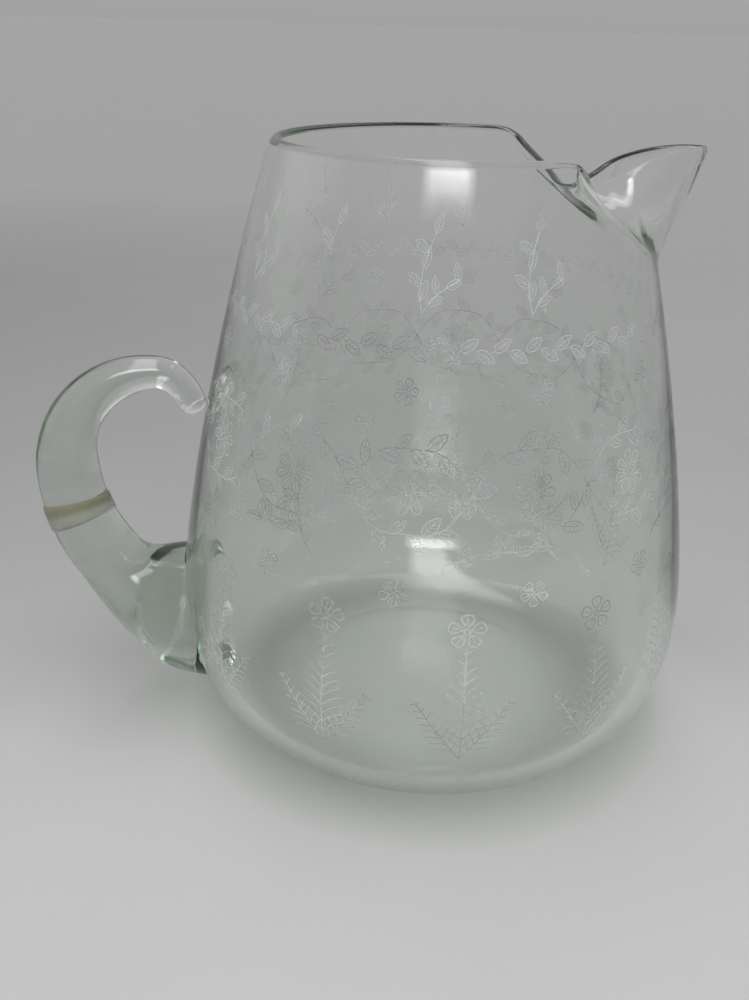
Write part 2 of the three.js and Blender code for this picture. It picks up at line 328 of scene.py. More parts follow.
def body_profile():
    points = [at(0, 0)] + [at(FOOT_RADIUS * share, 0) for share in (0.4, 0.75, 0.92, 0.985)]
    points += [on_curve(OUTER_HEEL, share) for share in shares(24)]
    levels = even(BELLY_HEIGHT, LIP_BOTTOM, 26) + even(LIP_BOTTOM, RIM_TOP, 22)
    points += [at(outside.radius(level), level) for level in levels]
    middle = (RIM_RADIUS + INNER_RIM) / 2
    for turn in range(18, 180, 18):
        swing = math.radians(turn)
        points.append(
            at(middle + RIM_WALL / 2 * math.cos(swing), RIM_TOP + RIM_WALL / 2 * math.sin(swing))
        )
    levels = even(RIM_TOP, LIP_BOTTOM, 22) + even(LIP_BOTTOM, INNER_BELLY.y, 26)
    points += [at(inside.radius(level), level) for level in [RIM_TOP] + levels]
    points += [on_curve(INNER_HEEL, 1 - share) for share in shares(24)[1:]]
    return points + [at(FLOOR_RADIUS * share, FLOOR) for share in (0.9, 0.6, 0.3, 0)]


def spun(profile, columns):
    shape = bmesh.new()
    chain = [shape.verts.new((point.x, 0, point.y)) for point in profile]
    edges = [shape.edges.new(pair) for pair in zip(chain, chain[1:])]
    bmesh.ops.spin(
        shape,
        geom=chain + edges,
        cent=(0, 0, 0),
        axis=(0, 0, 1),
        angle=2 * math.pi,
        steps=columns,
        use_merge=True,
    )
    bmesh.ops.remove_doubles(shape, verts=shape.verts, dist=1e-4)
    bmesh.ops.recalc_face_normals(shape, faces=shape.faces)
    return shape


body_shape = spun(body_profile(), COLUMNS)
print("round blank:", len(body_shape.verts), "vertices")

# %% [markdown]
# ## The ice lip and the spout
# While the rim is soft, the maker pushes it in on both sides with a tool and draws the glass
# between out into a spout. The folds hold the ice back when the pitcher pours. The top edge
# is a smooth curve through a few points: the tip, the spout's wide part, the narrow neck and
# the straight fold back to the round rim. Every column of the blank is then moved towards its
# point on that curve, fully at the rim and not at all below the crease.

# %% Curve along the lip
LIP_ANGLE, FOLD_TURN, FOLD_CLIMB = 65.0, 6.5, 1.7
NECK = Vector((36.0, 9.0, RIM_HEIGHT - 12.7))
TIP_REACH, TIP_DROP, WIDE_REACH, SPOUT_WIDTH = 72.2, 0.3, 47.0, 12.1


def on_rim(degrees, drop):
    angle = math.radians(degrees)
    return Vector((RIM_RADIUS * math.cos(angle), RIM_RADIUS * math.sin(angle), RIM_HEIGHT - drop))


def on_spout(reach, width):
    fall = ((TIP_REACH - reach) / (TIP_REACH - NECK.x)) ** 2.2
    drop = TIP_DROP + fall * (RIM_HEIGHT - NECK.z - TIP_DROP)
    return Vector((reach, SPOUT_WIDTH * width, RIM_HEIGHT - drop))


def reach_at(share, end):
    return WIDE_REACH + share * (end - WIDE_REACH)


near_tip = on_spout(reach_at(0.78, TIP_REACH), 0.47)
fold_start = on_rim(LIP_ANGLE - FOLD_TURN, 1.4)
LIP_POINTS = [
    Vector((near_tip.x, -near_tip.y, near_tip.z)),
    on_spout(TIP_REACH, 0),
    near_tip,
    on_spout(reach_at(0.41, TIP_REACH), 0.79),
    on_spout(WIDE_REACH, 1),
    on_spout(reach_at(0.58, NECK.x), 0.8),
    NECK,
    fold_start.lerp(NECK, 0.7),
    fold_start.lerp(NECK, 0.3),
    fold_start,
    on_rim(LIP_ANGLE, 0),
    on_rim(LIP_ANGLE + FOLD_TURN, 0),
    on_rim(LIP_ANGLE + 2 * FOLD_TURN, 0),
]


def through(points, place):
    """A smooth curve through the points. Place 0 is the second point, 1 the third and so on."""
    span = min(int(place), len(points) - 4)
    share = place - span
    a, b, c, d = points[span : span + 4]
    before, along, after = ((q - p).length ** 0.5 for p, q in ((a, b), (b, c), (c, d)))
    leave = ((b - a) / before - (c - a) / (before + along) + (c - b) / along) * along
    arrive = ((c - b) / along - (d - b) / (along + after) + (d - c) / after) * along
    square, cube = share**2, share**3
    return (
        b * (2 * cube - 3 * square + 1)
        + leave * (cube - 2 * square + share)
        + c * (3 * square - 2 * cube)
        + arrive * (cube - square)
    )


def on_lip(place):
    return through(LIP_POINTS, place)


LIP_SPANS = len(LIP_POINTS) - 4
print("spout tip at", tuple(round(x, 1) for x in on_lip(0)))

# %% [markdown]
# A column of the blank is all that lies at one angle round the axis. Its top moves to the
# matching point of the lip, with the wall's thickness kept, and the points below follow by a
# share that fades out at the crease. The rows slide a little too, so that they run along the
# crease and not across it.

# %% Move each column towards the lip


def lip_column(degrees):
    """How far the outside and inside of the rim shift and drop at this angle, and the climb."""
    if degrees >= LIP_ANGLE:
        return Vector((0, 0)), Vector((0, 0)), 0.0, 1.0
    place = LIP_SPANS * degrees / LIP_ANGLE
    spot = on_lip(place)
    along = on_lip(min(place + 0.005, LIP_SPANS)) - on_lip(max(place - 0.005, 0))
    inward = Vector((-along.y, along.x)).normalized()
    angle = math.radians(degrees)
    direction = Vector((math.cos(angle), math.sin(angle)))
    outer = Vector((spot.x, spot.y))
    inner = outer + inward * RIM_WALL
    climb = (degrees / LIP_ANGLE) ** FOLD_CLIMB
    return outer - direction * RIM_RADIUS, inner - direction * INNER_RIM, RIM_HEIGHT - spot.z, climb


def lip_share(height, climb):
    bottom = LIP_BOTTOM + (RIM_TOP - LIP_BOTTOM) * climb
    rise = max(0.0, (height - bottom) / (RIM_HEIGHT - bottom))
    soft = 0.06
    eased = (rise - soft * (1 - math.exp(-rise / soft))) / (1 - soft * (1 - math.exp(-1 / soft)))
    return eased * (1 + 0.18 * (1 - rise))


def follow_crease(height, climb):
    """Where a row of the blank goes, so that rows run along the crease."""
    if height <= ROUND_TOP or height >= RIM_TOP:
        return height
    edge = LIP_BOTTOM + (RIM_TOP - LIP_BOTTOM) * climb * 0.8
    if height < LIP_BOTTOM:
        return ROUND_TOP + (edge - ROUND_TOP) * (height - ROUND_TOP) / (LIP_BOTTOM - ROUND_TOP)
    return edge + (RIM_TOP - edge) * (height - LIP_BOTTOM) / (RIM_TOP - LIP_BOTTOM)


columns = [lip_column(abs(180 - step * 360 / COLUMNS)) for step in range(COLUMNS)]


def push_lip(vertex):
    x, y, height = vertex.co
    radius = math.hypot(x, y)
    if height < ROUND_TOP:
        return
    angle = math.atan2(y, x)
    step = round((math.pi - angle) * COLUMNS / (2 * math.pi)) % COLUMNS
    shift_out, shift_in, drop, climb = columns[step]
    below_rim = min(height, RIM_TOP)
    wall = outside.radius(below_rim) - inside.radius(below_rim)
    depth = (outside.radius(below_rim) - radius) / wall
    level = follow_crease(height, climb)
    flat = min(level, RIM_TOP)
    radius += outside.radius(flat) - outside.radius(below_rim)
    radius += depth * (inside.radius(flat) - outside.radius(flat) + wall)
    share = lip_share(level, climb)
    shift = shift_out.lerp(shift_in, depth) * share
    side = 1 if y >= 0 else -1
    vertex.co = (
        radius * math.cos(angle) + shift.x,
        radius * math.sin(angle) + side * shift.y,
        level - share * drop,
    )


for vertex in body_shape.verts:
    push_lip(vertex)
print("lip pushed in, narrowest neck %.1f mm" % (2 * (NECK.y - RIM_WALL)))

# %% [markdown]
# ## From shape to object
# Shapes are drawn in millimetres, like the CAD sizes, and scaled to metres as they become
# objects. Each object sits at the origin, rides on the only body of the frame and, where it
# stands for a CAD node, hides that node.

# %% Finished objects


def as_mesh(shape, name):
    mesh = bpy.data.meshes.new(name)
    shape.to_mesh(mesh)
    shape.free()
    return mesh


def placed(data, name):
    made = bpy.data.objects.new(name, data)
    bpy.context.scene.collection.objects.link(made)
    return made


def finished(shape, name, material, node=None):
    bmesh.ops.scale(shape, vec=(MM, MM, MM), verts=shape.verts)
    made = placed(as_mesh(shape, name), name)
    made.data.materials.append(material)
    made.data.shade_smooth()
    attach(made, "root")
    if node:
        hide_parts(node)
    print(name, "has", len(made.data.polygons), "faces")


# %% [markdown]
# ## The handle
# The rod was pulled from a hot gather: thick at the root, slimmer round the grip and thin at
# the curled tip. Its middle line is a Bezier up to the grip, a quarter of an ellipse over the
# hand and a short hook to the wall. A circle is extruded along that line, ring after ring.

# %% Middle line of the rod
GRIP_RADIUS, GRIP_HEIGHT, FINGER_ROOM = 9.3, 84.0, 25.0
ROOT_RADIUS, ROOT_HEIGHT, ROOT_SINK = 12.4, 21.0, 3.0
ARCH_RISE, ARCH_REACH, ARCH_RADIUS = 28.5, 17.0, 4.9
TIP_RADIUS, CURL_DROP, SEAT_GAP = 4.1, 8.9, 0.3
ARCH_HEIGHT = GRIP_HEIGHT + ARCH_RISE
TIP_HEIGHT = ARCH_HEIGHT - CURL_DROP
grip = at(BELLY_RADIUS + FINGER_ROOM + GRIP_RADIUS, GRIP_HEIGHT)
root = at(outside.radius(ROOT_HEIGHT) - ROOT_SINK, ROOT_HEIGHT)
arch = at(outside.radius(ARCH_HEIGHT) + ARCH_REACH, ARCH_HEIGHT)
tip = at(outside.radius(TIP_HEIGHT) + SEAT_GAP + TIP_RADIUS, TIP_HEIGHT)
leave = math.radians(40)
rise = (root, root + at(math.cos(leave), math.sin(leave)) * 30, grip - at(0, 28), grip)
hook = at(tip.x + 0.4 * (arch.x - tip.x), arch.y)

line = [on_curve(rise, share) for share in shares(200)]
rise_end = len(line)
for share in shares(120)[1:]:
    turn = share * math.pi / 2
    reach = arch.x + (grip.x - arch.x) * math.cos(turn)
    line.append(at(reach, grip.y + ARCH_RISE * math.sin(turn)))
arch_end = len(line)
for share in shares(60)[1:]:
    line.append(arch * (1 - share) ** 2 + hook * 2 * share * (1 - share) + tip * share**2)
lengths = [0.0]
for before, after in zip(line, line[1:]):
    lengths.append(lengths[-1] + (after - before).length)
GRIP_ALONG, ARCH_ALONG, ROD_LENGTH = lengths[rise_end - 1], lengths[arch_end - 1], lengths[-1]
print("rod length %.1f mm" % ROD_LENGTH)


def rod_radius(along):
    if along < GRIP_ALONG:
        return ROOT_RADIUS + (GRIP_RADIUS - ROOT_RADIUS) * along / GRIP_ALONG
    if along < ARCH_ALONG:
        share = (along - GRIP_ALONG) / (ARCH_ALONG - GRIP_ALONG)
        return GRIP_RADIUS + (ARCH_RADIUS - GRIP_RADIUS) * share
    share = (along - ARCH_ALONG) / (ROD_LENGTH - ARCH_ALONG)
    return ARCH_RADIUS + (TIP_RADIUS - ARCH_RADIUS) * share


def rod_frame(along):
    """The rod's middle at this length, first axis towards the fingers and third along the rod."""
    inside_line = min(max(along, 0.0), ROD_LENGTH)
    upper = min(max(bisect_left(lengths, inside_line), 1), len(line) - 1)
    share = (inside_line - lengths[upper - 1]) / (lengths[upper] - lengths[upper - 1])
    low, high = max(upper - 3, 0), min(upper + 2, len(line) - 1)
    tangent = (line[high] - line[low]).normalized()
    middle = line[upper - 1].lerp(line[upper], share) + tangent * (along - inside_line)
    inward = Vector((tangent.y, 0, tangent.x))
    onward = Vector((-tangent.x, 0, tangent.y))
    matrix = Matrix((inward, (0, 1, 0), onward)).transposed().to_4x4()
    return Matrix.Translation((-middle.x, 0, middle.y)) @ matrix


# %% [markdown]
# At the root the hot rod was pressed against the body and spread into a pad, wider and taller
# than the rod. Each section there is an ellipse, given by its highest point, its lowest point
# and its half width. A smooth curve through four such sections leads from inside the wall out
# to the round rod.

# %% Sections of the handle
PAD_TOP, PAD_BOTTOM, PAD_HALF_WIDTH = 53.4, 10.4, 24.3
FLARE_HEIGHT = 53.0


def root_key(top_out, top_rise, foot_out, foot_rise, half_width):
    top = at(outside.radius(PAD_TOP) + top_out, PAD_TOP + top_rise)
    foot = at(outside.radius(PAD_BOTTOM) + foot_out, PAD_BOTTOM + foot_rise)
    return Vector((top.x, top.y, foot.x, foot.y, half_width))


def rod_key(along):
    place = rod_frame(along)
    top, foot = (place @ Vector((side * rod_radius(along), 0, 0)) for side in (1, -1))
    return Vector((-top.x, top.z, -foot.x, foot.z, rod_radius(along)))


def section(key):
    """The matrix that turns a flat unit circle into the section that a key describes."""
    top, foot = Vector((-key[0], 0, key[1])), Vector((-key[2], 0, key[3]))
    up, side = (top - foot) / 2, Vector((0, key[4], 0))
    matrix = Matrix((up, side, up.cross(side).normalized())).transposed().to_4x4()
    return Matrix.Translation((top + foot) / 2) @ matrix


flare_along = next(along for along, point in zip(lengths, line) if point.y > FLARE_HEIGHT)
root_keys = [
    root_key(-14, 0, -14, -1, 25.5),
    root_key(-7, 0, -7, -0.5, 25),
    root_key(0.2, 0, 0.2, 0, PAD_HALF_WIDTH),
    root_key(10.4, 0, 16.8, 2.8, 18.5),
    root_key(13.8, 1.8, 28.2, 12.3, 14),
    rod_key(flare_along),
    rod_key(flare_along + 8),
]
sections = [section(through(root_keys, 4 * share)) for share in shares(64)]
for share in shares(110)[1:]:
    sections.append(section(rod_key(flare_along + share * (ROD_LENGTH - flare_along))))
for turn in range(8, 88, 8):
    swing = math.radians(turn)
    size = TIP_RADIUS * math.cos(swing)
    place = rod_frame(ROD_LENGTH + TIP_RADIUS * math.sin(swing))
    sections.append(place @ Matrix.Diagonal((size, size, 1, 1)))
print("handle sections:", len(sections))

# %% [markdown]
# One circle now grows into the whole handle. Each step extrudes its edge and moves the new
# ring by the matrix that leads from the last section to the next, so the operator makes all
# the faces. A face closes each end.

# %% Extrude a circle through the sections


def extruded(sections, segments):
    shape = bmesh.new()
    ring = bmesh.ops.create_circle(shape, radius=1, segments=segments, matrix=sections[0])["verts"]
    edges = list({edge for vertex in ring for edge in vertex.link_edges})
    bmesh.ops.contextual_create(shape, geom=edges)
    for before, after in zip(sections, sections[1:]):
        grown = bmesh.ops.extrude_edge_only(shape, edges=edges)["geom"]
        ring = {part for part in grown if isinstance(part, bmesh.types.BMVert)}
        sides = [part for part in grown if isinstance(part, bmesh.types.BMEdge)]
        edges = [edge for edge in sides if ring.issuperset(edge.verts)]
        bmesh.ops.transform(shape, matrix=after @ before.inverted(), verts=list(ring))
    bmesh.ops.contextual_create(shape, geom=edges)
    bmesh.ops.recalc_face_normals(shape, faces=shape.faces)
    return shape


handle_shape = extruded(sections, 72)
print("handle blank:", len(handle_shape.verts), "vertices")

# %% [markdown]
# The blank runs on into the wall. The outside of the body, grown by the seat gap, is cut away
# from it, which leaves the hollow seat that fits the wall.

# %% Cut the seat


def evaluated(made):
    bpy.context.view_layer.update()
    graph = bpy.context.evaluated_depsgraph_get()
    mesh = bpy.data.meshes.new_from_object(made.evaluated_get(graph))
    shape = bmesh.new()
    shape.from_mesh(mesh)
    bpy.data.meshes.remove(mesh)
    return shape


def without(made):
    mesh = made.data
    bpy.data.objects.remove(made)
    bpy.data.meshes.remove(mesh)


ENVELOPE_TOP = 150


def envelope():
    levels = even(0, ENVELOPE_TOP, 150)
    points = [at(0, -1), at(FOOT_RADIUS + SEAT_GAP, -1), at(FOOT_RADIUS + SEAT_GAP, 0)]
    points += [at(outside.radius(level) + SEAT_GAP, level) for level in levels]
    return spun(points + [at(0, ENVELOPE_TOP)], COLUMNS)


blank = placed(as_mesh(handle_shape, "handle_blank"), "handle_blank")
cutter = placed(as_mesh(envelope(), "envelope"), "envelope")
cut = blank.modifiers.new("cut", "BOOLEAN")
cut.operation, cut.solver, cut.object = "DIFFERENCE", "EXACT", cutter
handle_shape = evaluated(blank)
without(blank)
without(cutter)
print("cut handle:", len(handle_shape.faces), "faces")

# %% [markdown]
# The glass needs the number that says where the seat is. On the handle the seat is a set of
# whole faces, so each face gets a plain yes or no, and the edge round the seat is made sharp
# to keep the shading of both sides apart. On the body the seat's edge runs across the faces,
# so each vertex gets its distance from that edge, counted positive inside.

# %% Mark the seat on the handle
SEAT_BELOW, SEAT_CLOSE = 80.0, 0.06


def on_seat(vertex):
    x, y, height = vertex.co
    return abs(math.hypot(x, y) - outside.radius(height) - SEAT_GAP) < SEAT_CLOSE


seat_mark = handle_shape.faces.layers.float.new("seat")
for face in handle_shape.faces:
    low_down = face.calc_center_median().z < SEAT_BELOW
    face[seat_mark] = 1.0 if low_down and all(on_seat(vertex) for vertex in face.verts) else -1.0
handle_shape.verts.index_update()
seat_faces = [face for face in handle_shape.faces if face[seat_mark] > 0]
seat_edges = [
    edge for edge in handle_shape.edges if len({face[seat_mark] for face in edge.link_faces}) > 1
]
for edge in seat_edges:
    edge.smooth = False
print("seat:", len(seat_faces), "faces,", len(seat_edges), "edges round it")

# %% Measure how far each point of the body lies inside the seat
seat_tree = BVHTree.FromPolygons(
    [vertex.co for vertex in handle_shape.verts],
    [[vertex.index for vertex in face.verts] for face in seat_faces],
)
edge_points = [
    edge.verts[0].co.lerp(edge.verts[1].co, share) for edge in seat_edges for share in shares(12)
]
edge_tree = KDTree(len(edge_points))
for number, point in enumerate(edge_points):
    edge_tree.insert(point, number)
edge_tree.balance()
FAR_FROM_SEAT = -9.0


def near_seat(spot):
    return spot.x < -50 and abs(spot.y) < 34 and spot.z < 66


seat_layer = body_shape.verts.layers.float.new("seat")
for vertex in body_shape.verts:
    vertex[seat_layer] = FAR_FROM_SEAT
    if near_seat(vertex.co):
        to_edge = edge_tree.find(vertex.co)[2]
        covered = seat_tree.find_nearest(vertex.co)[3] < SEAT_GAP + 0.03
        vertex[seat_layer] = to_edge if covered else -to_edge
print("body vertices under the seat:", sum(vertex[seat_layer] > 0 for vertex in body_shape.verts))

# %% [markdown]
# The blown wall has slow, round ripples. The rod was pulled while it was hot, so its ripples
# are streaks that run along it, and as a thick rod it takes more of the light in a shadow.

# %% Body and handle as objects
WALL_PASS, ROD_PASS = (0.795, 0.803, 0.793, 1.0), (0.58, 0.592, 0.58, 1.0)
wall_glass = glass("wall_glass", (26, 26, 12), 0.00010, WALL_PASS)
rod_glass = glass("rod_glass", (18, 190, 18), 0.00038, ROD_PASS)
finished(body_shape, "glass_body", wall_glass, "body")
finished(handle_shape, "glass_handle", rod_glass, "handle")

# %% [markdown]
# ## The band
# A thin strip is wrapped once round the rod, a little aslant. It has gone yellow with age and
# lets some light through. A small rounded section is spun into a ring, and each point of the
# ring is then moved to its place round the rod.

# %% Band
BAND_WIDTH, BAND_THICKNESS, BAND_GAP = 7.0, 0.35, 0.1
BAND_HEIGHT, BAND_TILT, BAND_SKEW = 67.5, 0.3, 2.8
SPIN_RADIUS = 5.0
band_along = next(along for along, point in zip(lengths, line) if point.y > BAND_HEIGHT)


def band_finish():
    finish = new_finish("aged_band")
    place = finish.node("ShaderNodeTexCoord", output="Object")
    grain = finish.node("ShaderNodeTexNoise", {}, {"Vector": place, "Scale": 420.0, "Detail": 3.0})
    across = finish.node("ShaderNodeAttribute", {"attribute_name": "across"}, output="Fac")
    colour = finish.node(
        "ShaderNodeValToRGB",
        {"stops": [(0.35, (0.38, 0.38, 0.33, 1)), (0.6, (0.25, 0.243, 0.17, 1))]},
        {0: across + grain * 0.2 - 0.1},
    )
    bump = finish.node("ShaderNodeBump", {}, {"Height": grain, "Strength": 0.3, "Distance": 0.0002})
    strip = finish.node(
        "ShaderNodeBsdfPrincipled",
        {},
        {
            "Base Color": colour,
            "Roughness": grain * 0.2 + 0.4,
            "Alpha": across * 0.45 + 0.4,
            "Normal": bump,
        },
    )
    return finish.show(strip)


def band_ring():
    half, corner = BAND_WIDTH / 2, BAND_THICKNESS / 2
    section = [at(-corner * 0.4, -half), at(corner * 0.4, -half), at(corner, -half * 0.94)]
    section += [at(corner, share * half) for share in (-0.5, 0, 0.5)]
    section += [at(corner, half * 0.94), at(corner * 0.4, half), at(-corner * 0.4, half)]
    section += [at(-corner, half * 0.94), at(-corner, 0), at(-corner, -half * 0.94)]
    section.append(section[0].copy())
    shape = spun([point + at(SPIN_RADIUS, 0) for point in section], 120)
    layer = shape.verts.layers.float.new("across")
    for vertex in shape.verts:
        x, y, up = vertex.co
        vertex[layer] = up / BAND_WIDTH + 0.5
        turn = math.atan2(y, x)
        along = band_along + up + BAND_TILT * math.cos(turn) - BAND_SKEW * math.sin(turn)
        distance = rod_radius(along) + BAND_GAP + corner + math.hypot(x, y) - SPIN_RADIUS
        spot = Vector((distance * math.cos(turn), distance * math.sin(turn), 0))
        vertex.co = rod_frame(along) @ spot
    bmesh.ops.recalc_face_normals(shape, faces=shape.faces)
    return shape


finished(band_ring(), "band", band_finish(), "handle_band")

# %% [markdown]
# ## The etched ornament
# Fine ornament on such glass is etched: the wall is covered with wax, a pattern is scratched
# into it, and acid frosts the bare lines. Here the pattern is a simple one of leaves, ferns
# and daisies. It is drawn flat in millimetres, out of thin ribbons, and then wrapped round
# the outside of the wall, a few hundredths of a millimetre proud of it.

# %% Ribbons
LINE, FINE = 0.44, 0.31


def stroke(shape, points, width):
    """A ribbon along a row of points."""
    steps = len(points) - 1
    made = bmesh.ops.create_grid(shape, x_segments=steps, y_segments=1, size=1)["verts"]
    for vertex in made:
        spot = round((vertex.co.x + 1) / 2 * steps)
        along = points[min(spot + 1, steps)] - points[max(spot - 1, 0)]
        aside = Vector((-along.y, along.x)).normalized() * vertex.co.y * width / 2
        vertex.co = (points[spot] + aside).to_3d()


def outline(shape, segments, form, width):
    """The rim of a closed form: a circle, moved by form, inset and left open."""
    ring = bmesh.ops.create_circle(shape, cap_ends=True, radius=1, segments=segments)["verts"]
    for vertex in ring:
        vertex.co = form(vertex.co.x, vertex.co.y).to_3d()
    face = next(face for face in ring[0].link_faces if len(face.verts) == segments)
    bmesh.ops.inset_region(shape, faces=[face], thickness=width, use_boundary=True)
    bmesh.ops.delete(shape, geom=[face], context="FACES_ONLY")


# %% [markdown]
# Three stencils are enough: a leaf with its veins, a daisy whose one petal is spun into a
# flower, and a fern. Each is drawn once and stamped many times at different sizes.

# %% Leaf, daisy and fern


def leaf(length, width):
    shape = bmesh.new()
    outline(
        shape,
        18,
        lambda x, y: at((x + 1) / 2 * length, y * width / 2 * (1 - 0.5 * max(x, 0) ** 2)),
        LINE,
    )
    stroke(shape, [at(length * share, 0) for share in (-0.12, 0.2, 0.5, 0.85)], FINE)
    for share in (0.25, 0.42, 0.59):
        for side in (1, -1):
            end = at(length * (share + 0.16), side * width * 0.33)
            stroke(shape, [at(length * share, 0), end], FINE * 0.8)
    return as_mesh(shape, "leaf")


def daisy(radius, petals):
    shape = bmesh.new()
    broad = radius * 0.95 * math.sin(math.pi / petals)
    outline(
        shape,
        14,
        lambda x, y: at(radius * (0.62 + 0.38 * x), y * broad * (0.75 + 0.3 * x) * 0.8),
        LINE * 0.9,
    )
    stroke(shape, [at(radius * share, 0) for share in (0.4, 0.6, 0.8)], FINE * 0.8)
    bmesh.ops.spin(
        shape,
        geom=shape.verts[:] + shape.edges[:] + shape.faces[:],
        cent=(0, 0, 0),
        axis=(0, 0, 1),
        angle=2 * math.pi,
        steps=petals,
        use_duplicate=True,
    )
    outline(shape, 12, lambda x, y: at(x, y) * radius * 0.2, LINE)
    return as_mesh(shape, "daisy")


def fern(height, pairs):
    shape = bmesh.new()
    stroke(shape, [at(0, height * share) for share in shares(12)], LINE * 0.8)
    for pair in range(pairs):
        share = (pair + 1.5) / (pairs + 1)
        size = height * 0.17 * (1.25 - share)
        for side in (1, -1):
            start = at(0, height * share)
            end = start + at(side * size, size * 0.75)
            middle = (start + end) / 2 + at(0, size * 0.12)
            stroke(shape, [start, middle, end], FINE)
    return as_mesh(shape, "fern")


# %% [markdown]
# The stencils are stamped in zones: two wavy garlands that cross round the middle, with a
# daisy in each cell between them, sprays above and below, a narrow wreath under the lip, and
# ferns that stand on the heel. Places that the handle covers stay bare.

# %% Stamps
ROUND = 70.0
HALF_ROUND = math.pi * ROUND
HANDLE_ACROSS = -HALF_ROUND / 2
leaf_mesh, daisy_mesh, bloom_mesh = leaf(9.0, 4.6), daisy(6.0, 8), daisy(4.2, 5)
fern_mesh, sprig_mesh = fern(34.0, 11), fern(22.0, 8)
drawing = bmesh.new()
print("round the body: %.0f mm" % (2 * HALF_ROUND))


def bare(spot):
    """True where the handle is fused on or comes close."""
    aside = abs(spot.x - HANDLE_ACROSS)
    return (aside < 34 and spot.y < 70) or (aside < 9 and 92 < spot.y < 118)


def stamp(mesh, spot, turn, size):
    if bare(spot):
        return
    count = len(drawing.verts)
    drawing.from_mesh(mesh)
    drawing.verts.ensure_lookup_table()
    turned = Matrix.Rotation(turn, 4, "Z") @ Matrix.Scale(size, 4)
    place = Matrix.Translation(spot.to_3d()) @ turned
    bmesh.ops.transform(drawing, matrix=place, verts=drawing.verts[count:])


def across_at(share):
    """Share runs from 0 to 1 round the body."""
    return (2 * share - 1) * HALF_ROUND


# %% Garlands and daisies
GARLAND_HEIGHT, GARLAND_WAVES, GARLAND_STEPS = 104.0, 7, 112


def garland(share, side):
    """One of the two wavy lines round the middle."""
    wave = 2 * math.pi * share * GARLAND_WAVES
    swing = 12 * math.sin(wave) + 1.5 * math.sin(3 * wave)
    return at(across_at(share), GARLAND_HEIGHT + side * swing)


for number in range(2 * GARLAND_STEPS):
    step, side = number // 2, 1 if number % 2 else -1
    spots = [garland((step + share / 3) / GARLAND_STEPS, side) for share in range(4)]
    if bare(spots[0]):
        continue
    stroke(drawing, spots, FINE)
    ahead = spots[1] - spots[0]
    lean = 0.75 if step % 2 else -0.75
    stamp(leaf_mesh, spots[0], math.atan2(ahead.y, ahead.x) + lean, 0.58 + 0.07 * (step % 3))
CELLS = 2 * GARLAND_WAVES
for cell in range(CELLS):
    stamp(daisy_mesh, at(across_at((cell + 0.5) / CELLS), GARLAND_HEIGHT), cell, 1.0)
print("garlands:", len(drawing.faces), "faces")

# %% Sprays above and below the garlands
SPRAYS, HIGH_SPRAYS, LOW_SPRAYS, SPOUT_ROOM = 14, 146.0, 84.0, 92.0


def spray(spot, turn, leaves, size):
    """A short curved twig with leaves on both sides."""
    twig = [at(0.03 * (3.6 * step) ** 2, 3.6 * step) for step in range(leaves + 1)]
    twist = Matrix.Rotation(turn, 2)
    spots = [spot + twist @ (point * size) for point in twig]
    if any(bare(place) for place in spots):
        return
    stroke(drawing, spots, FINE)
    for number, place in enumerate(spots[1:]):
        lean = 0.7 if number % 2 else -0.7
        stamp(leaf_mesh, place, turn + math.pi / 2 + lean, size * 0.62)


for step in range(SPRAYS):
    across = across_at((step + 0.5) / SPRAYS)
    if abs(across - HALF_ROUND / 2) > SPOUT_ROOM:
        spray(at(across, HIGH_SPRAYS), 0.35, 5, 0.9)
        spray(at(across, HIGH_SPRAYS), -0.5, 4, 0.8)
    spray(at(across + 8, LOW_SPRAYS), 0.8 if step % 2 else -0.8, 5, 0.95)
print("with sprays:", len(drawing.faces), "faces")

# %% Wreath, ferns and scattered blooms
WREATH_HEIGHT, WREATH_LEAVES, FERN_FOOT, FERNS = 138.0, 96, 30.0, 13
for step in range(WREATH_LEAVES):
    across = across_at(step / WREATH_LEAVES)
    lean = 0.5 if step % 2 else -0.5
    stamp(leaf_mesh, at(across, WREATH_HEIGHT), lean, 0.62)
    if step % 8 == 4:
        stamp(bloom_mesh, at(across, WREATH_HEIGHT - 10), step, 0.8)
for step in range(FERNS):
    across = across_at((step + 0.5) / FERNS)
    stamp(fern_mesh, at(across, FERN_FOOT), 0, 1.0)
    stamp(sprig_mesh, at(across, FERN_FOOT), 0.55, 1.0)
    stamp(sprig_mesh, at(across, FERN_FOOT), -0.55, 1.0)
    stamp(bloom_mesh, at(across, FERN_FOOT + 39), 0.3, 1.15)
    stamp(bloom_mesh, at(across + 16, FERN_FOOT + 48), 0.9, 0.85)
print("with wreath and ferns:", len(drawing.faces), "faces")

# %% [markdown]
# Etched lines are frosted. Under some light they look paler than the clear glass and under
# other light darker, so that light and shade is painted into their colour, which changes slowly
# from dark to pale from place to place, and they let some of the background through.

# %% Frosted lines
PROUD = 0.05


def etched_finish():
    finish = new_finish("etched_lines")
    place = finish.node("ShaderNodeTexCoord", output="Object")
    grain = finish.node("ShaderNodeTexNoise", {}, {"Vector": place, "Scale": 900.0, "Detail": 2.0})
    bump = finish.node("ShaderNodeBump", {}, {"Height": grain, "Strength": 0.4, "Distance": 0.0001})
    patches = finish.node("ShaderNodeTexNoise", {}, {"Vector": place, "Scale": 22.0, "Detail": 1.0})
    # Painted light and shade: slow patches of dark and pale colour on the frosted lines.
    colour = finish.node(
        "ShaderNodeValToRGB",
        {"stops": [(0.40, (0.16, 0.17, 0.165, 1)), (0.58, (0.62, 0.64, 0.63, 1))]},
        {0: patches},
    )
    frost = finish.node(
        "ShaderNodeBsdfPrincipled",
        {},
        {
            "Base Color": colour,
            "Roughness": grain * 0.2 + 0.5,
            "Alpha": grain * 0.3 + 0.25,
            "Normal": bump,
        },
    )
    return finish.show(frost)


